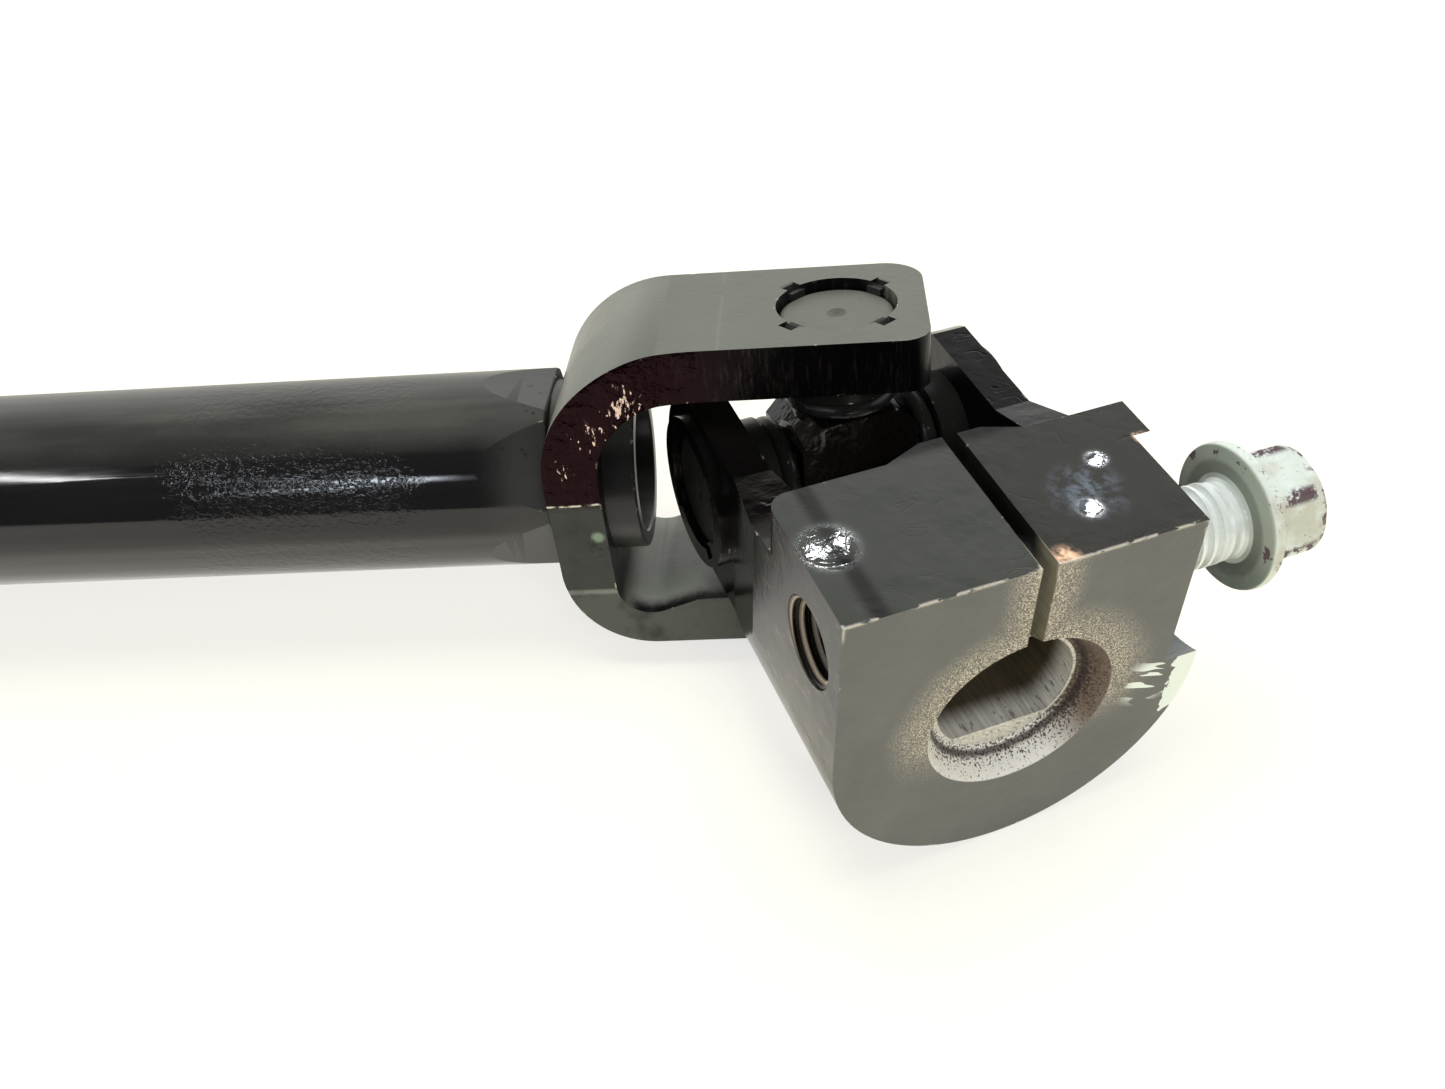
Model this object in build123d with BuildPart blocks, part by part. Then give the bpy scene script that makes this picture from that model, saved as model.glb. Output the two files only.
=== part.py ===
from build123d import *
from math import sqrt
import os

# Intermediate steering shaft, in millimetres. The shaft axis is X, and Z is up.
# The origin is the middle of the upper clamp bore. Each universal joint has a frame
# of its own: its X points from the joint's centre out to its clamp yoke, and its Z
# is the axis of the two bearing cups in the strap yoke.

# Whole shaft
joint_spacing = 255.0
lower_yoke_angle = 11.4
lower_bend_angle = 66.6
lower_dip_angle = 11.3

# Needle bearings and cross
cup_radius = 8.0
cup_floor = 1.5
cup_corner = 1.1
cup_dimple_radius = 1.35
cup_dimple_depth = 0.6
cup_lip = 0.8
cup_press_gap = 0.01
needle_radius = 0.9
needle_count = 19
needle_sides = 8
needle_end_gap = 0.2
journal_radius = 4.7
running_gap = 0.03
journal_end_gap = 0.1
hub_radius = 6.6
hub_reach = 8.5
hub_chamfer = 2.9
hub_shoulder_gap = 0.6
neck_radius = 5.4
neck_gap = 0.01
seal_cup_gap = 0.37
seal_width = 2.4
seal_radius = 7.7
seal_bead = 0.9
journal_chamfer = 0.6

# Strap yoke
strap_thickness = 7.25
ear_outer_height = 22.74
ear_half_width = 12.15
ear_end = 11.7
ear_front_corner = 3.6
ear_rear_corner = 5.4
strap_upper_bend = 16.5
strap_lower_bend = 12.4
strap_base = 39.3
strap_thinning = 1.9
strap_lower_inner_bend = 4.6
strap_thinning_lead = 5.55
strap_thinning_run = 5.5
flare_half_width = 15.3
flare_start = 18.0
flare_end = 36.0
facet_top = 2.4
facet_top_half_width = 14.9
facet_bottom = 13.2
facet_bottom_half_width = 12.5
cup_recess = 1.37
stake_width = 2.4
stake_reach = 0.9
stake_depth = 0.8
stake_length = 1.7
stake_gap = 0.05

# Forged clamp yoke
head_front = 49.95
head_corner = 2.6
head_back = 28.9
head_radius = 24.0
head_top = 24.2
head_top_right = 21.9
boss_back = 26.9
boss_half_width = 4.0
boss_root_half_width = 9.0
arm_thickness = 5.1
arm_under_cup = 0.37
arm_height = 11.9
arm_ramp_start = 12.0
arm_ramp_height = 17.5
arm_flare_end = 26.0
ear_radius = 13.3
pad_radius = 10.6
pad_over_cup = 0.93
crotch_radius = 3.0
slot_width = 2.0
socket_radius = 9.0
socket_flat = 6.35
countersink_radius = 12.06
countersink_floor_radius = 10.2
countersink_depth = 3.0
countersink_step_radius = 9.4
countersink_step_depth = 0.6
serration_count = 36
serration_width = 0.5
round_bore_radius = 8.5

# Pinch bolt
bolt_x = 41.84
bolt_z = 13.69
bolt_radius = 5.0
bolt_gap = 0.05
bolt_clearance = 0.5
bolt_length = 40.0
bolt_tip_chamfer = 0.9
bolt_backed_out = 10.2
tapped_mouth_radius = 5.5
flange_radius = 9.15
flange_thickness = 2.0
flange_cone = 1.6
hex_across_flats = 13.0
bolt_head_height = 10.0
hex_crown = 2.0
hex_turn = 10
spotface_y = 19.6
spotface_radius = 13.9
spotface_ahead = 1.45
spotface_drop = 0.55

# Tube, sliding shaft and its bushes
tube_radius = 13.82
tube_wall = 2.5
tube_length = 135.7
spigot_radius = 12.0
spigot_wall = 2.4
spigot_proud = 4.35
spigot_gap = 0.02
crimp_length = 9.5
crimp_flat = 12.35
crimp_sides = 6
shaft_radius = 9.5
shaft_flat = 7.4
shaft_overlap = 70.0
shaft_collar = 4.0
shaft_end_chamfer = 1.2
slide_gap = 0.05
bush_length = 18.0
bush_spacing = 25.0
bush_step = 1.2
bush_gap = 0.02
wiper_radius = 15.4
wiper_face = 2.2
wiper_grip = 5.0
wiper_gap = 0.4

# Heights along the trunnions that follow from the sizes above
cross_reach = ear_outer_height - cup_recess
seal_start = hub_reach + hub_shoulder_gap
seal_end = seal_start + seal_width
cup_mouth = seal_end + seal_cup_gap
arm_outer = cross_reach - arm_under_cup
arm_inner = arm_outer - arm_thickness
pad_height = cross_reach + pad_over_cup

# Frames of the two joints
clamp_middle = (boss_back + head_front) / 2
lower_joint_x = clamp_middle + joint_spacing
upper_joint = Location((clamp_middle, 0, 0), (0, 0, 180))
lower_joint = Location((lower_joint_x, 0, 0), (-lower_yoke_angle, 0, 0))
lower_cross_frame = lower_joint * Location((0, 0, 0), (0, 0, -lower_bend_angle))
lower_clamp_frame = lower_cross_frame * Location((0, 0, 0), (0, lower_dip_angle, 0))

os.makedirs("parts", exist_ok=True)


def keep(piece, name):
    """Label a finished piece and write it to its own file."""
    piece.part.label = name
    export_step(piece.part, f"parts/{name}.step")


def on(frame, plane):
    """Sketch plane carried by a frame."""
    return Plane(frame * plane.location)


# Places of the four bearing seats of a cross, each with its X along the trunnion
seat_turns = {
    "top": (0, -90, 0),
    "bottom": (0, 90, 0),
    "left": (0, 0, -90),
    "right": (0, 0, 90),
}


def seat(frame, name):
    """Frame whose X runs out along one trunnion, with the joint's centre as its origin."""
    return frame * Location((0, 0, 0), seat_turns[name])


def bearing_cup(frame):
    """Drawn cup with a rounded floor, a centre dimple and a turned-in lip at its mouth."""
    outer = cup_radius - cup_press_gap
    inner = journal_radius + 2 * (needle_radius + running_gap)
    lip_radius = journal_radius + cup_lip / 2
    with BuildPart() as cup:
        with BuildSketch(on(frame, Plane.XY)):
            with BuildLine():
                Polyline(
                    (cup_mouth, lip_radius),
                    (cup_mouth, outer),
                    (cross_reach - cup_corner, outer),
                )
                RadiusArc(
                    (cross_reach - cup_corner, outer),
                    (cross_reach, outer - cup_corner),
                    cup_corner,
                )
                Polyline(
                    (cross_reach, outer - cup_corner),
                    (cross_reach, cup_dimple_radius),
                    (cross_reach - cup_dimple_depth, 0),
                    (cross_reach - cup_floor, 0),
                    (cross_reach - cup_floor, inner),
                    (cup_mouth + cup_lip, inner),
                    (cup_mouth + cup_lip, lip_radius),
                    (cup_mouth, lip_radius),
                )
            make_face()
        revolve(axis=shaft_line(frame))
    return cup


def shaft_line(frame):
    """Line along the X of a frame."""
    return Axis(frame.position, on(frame, Plane.XY).x_dir)


def needle_set(frame):
    """Full ring of loose needle rollers around one trunnion."""
    start = cup_mouth + cup_lip + needle_end_gap
    stop = cross_reach - cup_floor - needle_end_gap
    pitch_radius = journal_radius + running_gap + needle_radius
    with BuildPart() as needles:
        with BuildSketch(on(frame, Plane.YZ.offset(start))):
            with PolarLocations(pitch_radius, needle_count):
                RegularPolygon(needle_radius, needle_sides)
        extrude(amount=stop - start)
    return needles


def trunnion_seal(frame):
    """Ring seal on the neck of a trunnion, with a rounded outer bead."""
    bead_root = seal_radius - seal_bead
    with BuildPart() as seal:
        with BuildSketch(on(frame, Plane.XY)):
            with BuildLine():
                Line((seal_start, neck_radius + neck_gap), (seal_start, bead_root))
                ThreePointArc(
                    (seal_start, bead_root),
                    ((seal_start + seal_end) / 2, seal_radius),
                    (seal_end, bead_root),
                )
                Polyline(
                    (seal_end, bead_root),
                    (seal_end, neck_radius + neck_gap),
                    (seal_start, neck_radius + neck_gap),
                )
            make_face()
        revolve(axis=shaft_line(frame))
    return seal


def cross(frame):
    """Forged cross: a rounded core with four stepped and chamfered trunnions."""
    tip = cross_reach - cup_floor - journal_end_gap
    with BuildPart() as spider:
        with BuildSketch(on(frame, Plane.YZ.offset(-hub_radius))):
            Rectangle(2 * hub_reach, 2 * hub_reach)
            chamfer(vertices(), hub_chamfer)
        extrude(amount=2 * hub_radius)
        for name in seat_turns:
            trunnion = seat(frame, name)
            with BuildSketch(on(trunnion, Plane.XY)):
                with BuildLine():
                    Polyline(
                        (0, 0),
                        (0, hub_radius),
                        (hub_reach - journal_chamfer, hub_radius),
                        (hub_reach, hub_radius - journal_chamfer),
                        (hub_reach, neck_radius),
                        (seal_end, neck_radius),
                        (seal_end, journal_radius),
                        (tip - journal_chamfer, journal_radius),
                        (tip, journal_radius - journal_chamfer),
                        (tip, 0),
                        (0, 0),
                    )
                make_face()
            revolve(axis=shaft_line(trunnion))
    return spider


def stake_sides(frame, names):
    """Frames turned to each chisel stake round the cup bores named."""
    turns = (45, 135, 225, 315)
    return [seat(frame, name) * Location((0, 0, 0), (turn, 0, 0)) for name in names for turn in turns]


def stake_tongues(frame, names, face):
    """Metal that the stakes pushed inwards over the rim of each cup."""
    tongue_floor = cross_reach + stake_gap
    with BuildPart() as tongues:
        for side in stake_sides(frame, names):
            with BuildSketch(on(side, Plane.YZ.offset(tongue_floor))):
                with Locations((cup_radius, 0)):
                    Rectangle(2 * stake_reach, stake_width)
            extrude(amount=face - stake_depth / 2 - tongue_floor)
    return tongues.part


def stake_notches(frame, names, face):
    """Wedge-shaped chisel notches round each cup bore."""
    with BuildPart() as notches:
        for side in stake_sides(frame, names):
            with BuildSketch(on(side, Plane.XY.offset(-stake_width / 2))):
                with BuildLine():
                    Polyline(
                        (face + stake_depth, cup_radius - stake_reach),
                        (face - stake_depth, cup_radius + stake_reach / 2),
                        (face + stake_depth, cup_radius + stake_length + stake_reach),
                        (face + stake_depth, cup_radius - stake_reach),
                    )
                make_face()
            extrude(amount=stake_width)
    return notches.part


def strap_yoke(frame):
    """Yoke bent from thick strap, fuller on one side of its base and thinner past its lower bend."""
    inner = ear_outer_height - strap_thickness
    thinned = inner + strap_thinning
    inside = strap_thickness - strap_base
    thinning_start = inside + strap_thinning_lead
    thinning_end = thinning_start + strap_thinning_run
    with BuildPart() as yoke:
        with BuildSketch(on(frame, Plane.XZ.offset(-ear_half_width))):
            with BuildLine():
                FilletPolyline(
                    (ear_end, ear_outer_height),
                    (-strap_base, ear_outer_height),
                    (-strap_base, 0),
                    radius=strap_upper_bend,
                )
                FilletPolyline(
                    (-strap_base, 0),
                    (-strap_base, -ear_outer_height),
                    (ear_end, -ear_outer_height),
                    radius=strap_lower_bend,
                )
                Polyline(
                    (ear_end, -ear_outer_height),
                    (ear_end, -inner),
                    (thinning_end, -inner),
                )
                FilletPolyline(
                    (thinning_end, -inner),
                    (thinning_start, -thinned),
                    (inside, -thinned),
                    (inside, 0),
                    radius=strap_lower_inner_bend,
                )
                FilletPolyline(
                    (inside, 0),
                    (inside, inner),
                    (ear_end, inner),
                    radius=strap_upper_bend - strap_thickness,
                )
                Line((ear_end, inner), (ear_end, ear_outer_height))
            make_face()
        extrude(amount=ear_half_width + flare_half_width)
        with BuildSketch(on(frame, Plane.XY.offset(-ear_outer_height))):
            with BuildLine():
                Polyline(
                    (ear_end, ear_front_corner - ear_half_width),
                    (ear_end, ear_half_width - ear_rear_corner),
                )
                RadiusArc(
                    (ear_end, ear_half_width - ear_rear_corner),
                    (ear_end - ear_rear_corner, ear_half_width),
                    -ear_rear_corner,
                )
                Polyline(
                    (ear_end - ear_rear_corner, ear_half_width),
                    (-strap_base, ear_half_width),
                    (-strap_base, -flare_half_width),
                    (-flare_end, -flare_half_width),
                )
                Spline(
                    (-flare_end, -flare_half_width),
                    (-flare_start, -ear_half_width),
                    tangents=((1, 0), (1, 0)),
                )
                Line((-flare_start, -ear_half_width), (ear_end - ear_front_corner, -ear_half_width))
                RadiusArc(
                    (ear_end - ear_front_corner, -ear_half_width),
                    (ear_end, ear_front_corner - ear_half_width),
                    -ear_front_corner,
                )
            make_face()
        extrude(amount=2 * ear_outer_height, mode=Mode.INTERSECT)
        with BuildSketch(on(frame, Plane.YZ.offset(-strap_base))):
            with BuildLine():
                Polyline(
                    (-flare_half_width, facet_top),
                    (-facet_top_half_width, facet_top),
                    (-facet_bottom_half_width, -facet_bottom),
                    (-ear_half_width, -ear_outer_height),
                    (-flare_half_width, -ear_outer_height),
                    (-flare_half_width, facet_top),
                )
            make_face()
        extrude(amount=strap_base - flare_start, mode=Mode.SUBTRACT)
        with BuildSketch(on(frame, Plane.XY.offset(-ear_outer_height))):
            Circle(cup_radius)
        extrude(amount=2 * ear_outer_height, mode=Mode.SUBTRACT)
        with BuildSketch(on(frame, Plane.YZ.offset(-strap_base))):
            Circle(spigot_radius)
        extrude(amount=strap_upper_bend, mode=Mode.SUBTRACT)
        add(stake_tongues(frame, ("top", "bottom"), ear_outer_height))
        add(stake_notches(frame, ("top", "bottom"), ear_outer_height), mode=Mode.SUBTRACT)
    return yoke


def head_outline(frame):
    """Outline of the clamp head seen along its bore: flat top, round underside."""
    with BuildSketch(on(frame, Plane.YZ.offset(-ear_radius))) as outline:
        with BuildLine():
            Polyline(
                (head_radius, 0),
                (head_top_right, head_top),
                (-head_radius, head_top),
                (-head_radius, 0),
            )
            ThreePointArc((-head_radius, 0), (0, -head_radius), (head_radius, 0))
        make_face()
    return outline.sketch


def side_outline(frame):
    """Outline of the clamp yoke seen along its trunnions: round ears, ramps and head."""
    end_x = sqrt(ear_radius**2 - arm_height**2)
    with BuildSketch(on(frame, Plane.XZ.offset(-head_radius))) as outline:
        with BuildLine():
            Polyline(
                (-end_x, arm_height),
                (arm_ramp_start, arm_height),
                (head_back, arm_ramp_height),
                (head_back, head_top),
                (head_front, head_top),
                (head_front, -head_radius),
                (head_back, -head_radius),
                (head_back, -arm_ramp_height),
                (arm_ramp_start, -arm_height),
                (-end_x, -arm_height),
            )
            ThreePointArc((-end_x, -arm_height), (-ear_radius, 0), (-end_x, arm_height))
        make_face()
    return outline.sketch


def plan_outline(frame):
    """Outline of the clamp yoke seen from above: arms that flare out to the head."""
    with BuildSketch(on(frame, Plane.XY.offset(-head_radius))) as outline:
        with BuildLine():
            Polyline(
                (-ear_radius, arm_outer),
                (-ear_radius, -arm_outer),
                (arm_ramp_start, -arm_outer),
                (arm_flare_end, -head_radius),
                (head_front, -head_radius),
                (head_front, head_radius),
                (arm_flare_end, head_radius),
                (arm_ramp_start, arm_outer),
                (-ear_radius, arm_outer),
            )
        make_face()
    return outline.sketch


def flatted_socket(frame):
    """Round socket through the clamp head with one flat, opposite the slot."""
    with BuildPart() as socket:
        with BuildSketch(on(frame, Plane.YZ.offset(boss_back))):
            Circle(socket_radius)
            with Locations((0, -socket_flat)):
                Rectangle(2 * socket_radius, 2 * socket_radius, align=(Align.CENTER, Align.MAX), mode=Mode.SUBTRACT)
        extrude(amount=head_front - boss_back)
    return socket.part


def serrated_bore(frame):
    """Round socket through the clamp head with serration grooves in its wall."""
    with BuildPart() as socket:
        with BuildSketch(on(frame, Plane.YZ.offset(boss_back))):
            Circle(round_bore_radius)
            with PolarLocations(round_bore_radius, serration_count):
                Rectangle(serration_width, serration_width, rotation=45)
        extrude(amount=head_front - boss_back)
    return socket.part


def clamp_yoke(frame, socket):
    """Forged clamp yoke: two arms, and a split head with a bore and a pinch bolt."""
    with BuildPart() as yoke:
        extrude(head_outline(frame), amount=ear_radius + head_front)
        extrude(side_outline(frame), amount=2 * head_radius, mode=Mode.INTERSECT)
        extrude(plan_outline(frame), amount=head_radius + head_top, mode=Mode.INTERSECT)
        with BuildSketch(on(frame, Plane.XY.offset(-head_radius))):
            with BuildLine():
                FilletPolyline(
                    (-ear_radius, arm_inner),
                    (head_back, arm_inner),
                    (head_back, -arm_inner),
                    (-ear_radius, -arm_inner),
                    radius=crotch_radius,
                )
                Line((-ear_radius, -arm_inner), (-ear_radius, arm_inner))
            make_face()
        extrude(amount=head_radius + head_top, mode=Mode.SUBTRACT)
        boss_floor = sqrt(head_radius**2 - boss_root_half_width**2)
        with BuildSketch(on(frame, Plane.XY.offset(-boss_floor))):
            with BuildLine():
                Polyline(
                    (head_back, boss_root_half_width),
                    (boss_back, boss_half_width),
                    (boss_back, -boss_half_width),
                    (head_back, -boss_root_half_width),
                    (head_back, boss_root_half_width),
                )
            make_face()
        extrude(amount=boss_floor + head_top)
        with BuildSketch(on(frame, Plane.XY.offset(arm_ramp_height))):
            with GridLocations(0, 2 * head_radius, 1, 2):
                with Locations((head_back, 0)):
                    Rectangle(2 * head_corner, 2 * head_corner)
            with GridLocations(0, 2 * (head_radius - head_corner), 1, 2):
                with Locations((head_back + head_corner, 0)):
                    Circle(head_corner, mode=Mode.SUBTRACT)
            with Locations((head_back + 2 * head_corner, 0)):
                Rectangle(2 * head_corner, 2 * head_radius, mode=Mode.SUBTRACT)
            with Locations((head_back + head_corner, 0)):
                Rectangle(2 * head_corner, 2 * (head_radius - head_corner), mode=Mode.SUBTRACT)
        extrude(amount=head_top - arm_ramp_height, mode=Mode.SUBTRACT)
        for name in ("left", "right"):
            ear = seat(frame, name)
            with BuildSketch(on(ear, Plane.YZ.offset(arm_inner))):
                Circle(pad_radius)
            extrude(amount=pad_height - arm_inner)
            with BuildSketch(on(ear, Plane.YZ.offset(arm_inner))):
                Circle(cup_radius)
            extrude(amount=pad_height - arm_inner, mode=Mode.SUBTRACT)
        add(stake_tongues(frame, ("left", "right"), pad_height))
        add(stake_notches(frame, ("left", "right"), pad_height), mode=Mode.SUBTRACT)
        add(socket(frame), mode=Mode.SUBTRACT)
        step_floor = head_front - countersink_depth - countersink_step_depth
        with BuildSketch(on(frame, Plane.XY)):
            with BuildLine():
                Polyline(
                    (head_front, 0),
                    (head_front, countersink_radius),
                    (head_front - countersink_depth, countersink_floor_radius),
                    (step_floor, countersink_step_radius),
                    (step_floor, 0),
                    (head_front, 0),
                )
            make_face()
        revolve(axis=shaft_line(frame), mode=Mode.SUBTRACT)
        with BuildSketch(on(frame, Plane.XY.offset(socket_flat / 2))):
            with Locations(((boss_back + head_front) / 2, 0)):
                Rectangle(head_front - boss_back, slot_width)
        extrude(amount=head_top, mode=Mode.SUBTRACT)
        bolt_side = frame * Location((bolt_x, 0, bolt_z))
        with BuildSketch(on(bolt_side, Plane.XZ)):
            Circle(bolt_radius + bolt_clearance)
        extrude(amount=-head_radius, mode=Mode.SUBTRACT)
        with BuildSketch(on(bolt_side, Plane.XZ)):
            Circle(bolt_radius + bolt_gap)
        extrude(amount=head_radius, mode=Mode.SUBTRACT)
        with BuildSketch(on(bolt_side, Plane.XZ.offset(head_radius))):
            Circle(tapped_mouth_radius)
        extrude(amount=bolt_radius - tapped_mouth_radius, taper=45, mode=Mode.SUBTRACT)
        spot = bolt_side * Location((spotface_ahead, 0, -spotface_drop))
        with BuildSketch(on(spot, Plane.XZ.offset(-spotface_y))):
            Circle(spotface_radius)
        extrude(amount=spotface_y - head_radius, mode=Mode.SUBTRACT)
    return yoke


def pinch_bolt(frame):
    """Flanged hexagon bolt, backed out of its thread by a few turns."""
    underside = spotface_y + bolt_backed_out
    line = frame * Location((bolt_x, underside, bolt_z), (0, 0, 90))
    hex_flat = hex_across_flats / 2
    with BuildPart() as bolt:
        with BuildSketch(on(line, Plane.YZ.offset(flange_thickness))):
            RegularPolygon(hex_flat, 6, major_radius=False, rotation=hex_turn)
        extrude(amount=bolt_head_height - flange_thickness)
        with BuildSketch(on(line, Plane.XY)):
            with BuildLine():
                Polyline(
                    (bolt_head_height, 0),
                    (bolt_head_height, hex_flat - hex_crown / 4),
                    (bolt_head_height - hex_crown, flange_radius - hex_crown),
                    (flange_thickness, flange_radius),
                    (0, flange_radius),
                    (0, 0),
                    (bolt_head_height, 0),
                )
            make_face()
        revolve(axis=shaft_line(line), mode=Mode.INTERSECT)
        with BuildSketch(on(line, Plane.XY)):
            with BuildLine():
                Polyline(
                    (flange_thickness + flange_cone, 0),
                    (flange_thickness + flange_cone, hex_flat),
                    (flange_thickness, flange_radius - flange_cone / 2),
                    (flange_thickness / 2, flange_radius),
                    (0, flange_radius),
                    (0, bolt_radius),
                    (bolt_tip_chamfer - bolt_length, bolt_radius),
                    (-bolt_length, bolt_radius - bolt_tip_chamfer),
                    (-bolt_length, 0),
                    (flange_thickness + flange_cone, 0),
                )
            make_face()
        revolve(axis=shaft_line(line))
    return bolt


# Pieces of both universal joints
strap_frames = {"lower": lower_joint, "upper": upper_joint}
cross_frames = {"lower": lower_cross_frame, "upper": upper_joint}
clamp_frames = {"lower": lower_clamp_frame, "upper": upper_joint}
sockets = {"lower": flatted_socket, "upper": serrated_bore}
for end in ("lower", "upper"):
    keep(strap_yoke(strap_frames[end]), f"{end}_strap_yoke")
    keep(cross(cross_frames[end]), f"{end}_cross")
    keep(clamp_yoke(clamp_frames[end], sockets[end]), f"{end}_clamp_yoke")
    keep(pinch_bolt(clamp_frames[end]), f"{end}_pinch_bolt")
    for place in seat_turns:
        trunnion_frame = seat(cross_frames[end], place)
        keep(bearing_cup(trunnion_frame), f"{end}_{place}_cup")
        keep(needle_set(trunnion_frame), f"{end}_{place}_needles")
        keep(trunnion_seal(trunnion_frame), f"{end}_{place}_seal")

# Outer tube, with a crimped six-sided shoulder and a spigot through the lower yoke
tube_right = lower_joint_x - strap_base
tube_left = tube_right - tube_length
spigot_end = tube_right + strap_thickness + spigot_proud
spigot_outer = spigot_radius - spigot_gap
tube_inner = tube_radius - tube_wall
with BuildPart() as outer_tube:
    with BuildSketch(Plane.XZ):
        with BuildLine():
            Polyline(
                (tube_left, tube_inner),
                (tube_left, tube_radius),
                (tube_right, tube_radius),
                (tube_right, spigot_outer),
                (spigot_end, spigot_outer),
                (spigot_end, spigot_outer - spigot_wall),
                (tube_right - crimp_length / 2, spigot_outer - spigot_wall),
                (tube_right - crimp_length, tube_inner),
                (tube_left, tube_inner),
            )
        make_face()
    revolve(axis=Axis.X)
    for crimp in range(crimp_sides):
        side = Location((0, 0, 0), (360 * crimp / crimp_sides - lower_yoke_angle, 0, 0))
        with BuildSketch(on(side, Plane.XZ.offset(-tube_radius))):
            with BuildLine():
                Polyline(
                    (tube_right, crimp_flat),
                    (tube_right - crimp_length, tube_radius),
                    (tube_right, tube_radius + tube_wall),
                    (tube_right, crimp_flat),
                )
            make_face()
        extrude(amount=2 * tube_radius, mode=Mode.SUBTRACT)
keep(outer_tube, "outer_tube")

# Sliding inner shaft, with flats along its length and a spigot through the upper yoke
upper_base = clamp_middle + strap_base
shaft_right = tube_left + shaft_overlap
with BuildPart() as inner_shaft:
    with BuildSketch(Plane.YZ.offset(upper_base)):
        Circle(shaft_radius)
        Rectangle(2 * shaft_radius, 2 * shaft_flat, mode=Mode.INTERSECT)
    extrude(amount=shaft_right - upper_base)
    chamfer(faces().sort_by(Axis.X)[-1].edges(), shaft_end_chamfer)
    with BuildSketch(Plane.YZ.offset(upper_base)):
        Circle(tube_radius)
    extrude(amount=shaft_collar)
    with BuildSketch(Plane.YZ.offset(upper_base)):
        Circle(spigot_outer)
    extrude(amount=-strap_thickness - spigot_proud)
keep(inner_shaft, "inner_shaft")

# Two plastic bushes inside the tube, which the inner shaft slides through
for number, name in enumerate(("front_slide_bush", "rear_slide_bush")):
    bush_start = tube_left + bush_step + number * bush_spacing
    with BuildPart() as slide_bush:
        with BuildSketch(Plane.YZ.offset(bush_start)):
            Circle(tube_inner - bush_gap)
            Circle(shaft_radius + slide_gap, mode=Mode.SUBTRACT)
            for side in (1, -1):
                with Locations((0, side * (shaft_flat + slide_gap + shaft_radius / 2))):
                    Rectangle(2 * shaft_radius, shaft_radius)
            Circle(tube_inner - bush_gap, mode=Mode.INTERSECT)
        extrude(amount=bush_length)
    keep(slide_bush, name)

# Rubber wiper cap on the open end of the tube
with BuildPart() as wiper:
    with BuildSketch(Plane.XZ):
        with BuildLine():
            Polyline(
                (tube_left - wiper_face, shaft_radius + wiper_gap),
                (tube_left - wiper_face, tube_radius),
                (tube_left - wiper_face / 2, wiper_radius),
                (tube_left + wiper_grip, wiper_radius),
                (tube_left + wiper_grip, tube_radius + bush_gap),
                (tube_left, tube_radius + bush_gap),
                (tube_left, shaft_radius + wiper_gap),
                (tube_left - wiper_face, shaft_radius + wiper_gap),
            )
        make_face()
    revolve(axis=Axis.X)
keep(wiper, "wiper_cap")
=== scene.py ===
import math

import bpy
from mathutils import Matrix, Vector


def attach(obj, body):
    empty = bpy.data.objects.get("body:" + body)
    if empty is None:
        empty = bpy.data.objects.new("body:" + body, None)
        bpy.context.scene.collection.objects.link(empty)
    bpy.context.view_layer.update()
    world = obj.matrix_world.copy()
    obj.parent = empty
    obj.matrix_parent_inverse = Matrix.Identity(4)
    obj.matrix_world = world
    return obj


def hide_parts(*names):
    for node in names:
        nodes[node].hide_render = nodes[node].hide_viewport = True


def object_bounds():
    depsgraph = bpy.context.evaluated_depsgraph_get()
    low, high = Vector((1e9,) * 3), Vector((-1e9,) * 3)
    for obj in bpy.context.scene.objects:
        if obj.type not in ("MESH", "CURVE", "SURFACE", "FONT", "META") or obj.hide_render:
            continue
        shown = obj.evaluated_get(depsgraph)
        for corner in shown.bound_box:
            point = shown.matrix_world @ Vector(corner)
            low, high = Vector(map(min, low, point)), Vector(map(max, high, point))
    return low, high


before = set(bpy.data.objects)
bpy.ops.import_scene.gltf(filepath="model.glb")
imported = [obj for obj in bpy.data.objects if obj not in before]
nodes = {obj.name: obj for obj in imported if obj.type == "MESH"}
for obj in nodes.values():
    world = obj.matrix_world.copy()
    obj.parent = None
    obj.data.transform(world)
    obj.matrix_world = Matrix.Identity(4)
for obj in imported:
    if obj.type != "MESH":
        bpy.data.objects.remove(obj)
cad_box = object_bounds()
collection = bpy.context.scene.collection

# The camera: lengths of the lens in pixels of the photograph and in millimetres of the sensor,
# place in the lower strap's frame in metres, and turns in radians
PHOTO_WIDTH, FOCAL_PIXELS, SENSOR_WIDTH = 1445, 1442.217, 36
CAMERA_PLACE = (-0.000298, -0.174829, 0.102715)
CAMERA_HEADING, CAMERA_DIP, CAMERA_ROLL = 0.10086, -0.58888, -0.09668

# Centres of the joints along the tube, in metres, and the turns of the lower one, in degrees
LOWER_CENTRE, UPPER_CENTRE = 0.293425, 0.038425
TUBE_TURN, STRAP_BEND, CLAMP_BEND = -11.4, -66.6, 11.3

# Strap yoke, in millimetres in its frame: outside of the ears, bottom of the dark sheared edge
EAR_OUTSIDE, SHEARED_LOW = 22.62, 2.6

# Clamp yoke, in millimetres in its frame
HEAD_BACK, HEAD_FRONT, HEAD_TOP = 27.0, 49.95, 24.2
COUNTERSINK, SLOT = 12.06, 2.0
CHEEK_OUTSIDE, SPOTFACE = -24.1, 14.2

# Pinch bolt, in millimetres: its place in the clamp's frame and its sizes
BOLT_X, BOLT_Y, BOLT_Z = 41.84, 29.8, 13.69
BOLT_LENGTH, BOLT_RADIUS, THREAD_PITCH, THREAD_DEPTH = 40.0, 5.0, 1.5, 0.62
FLANGE_RADIUS, HEX_APOTHEM, HEX_TURN, HEAD_HEIGHT = 9.15, 6.5, 10, 10.0

# Tube, in millimetres along it: start of its crimp and its end
CRIMP_START, TUBE_END = 245, 254.3

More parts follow.
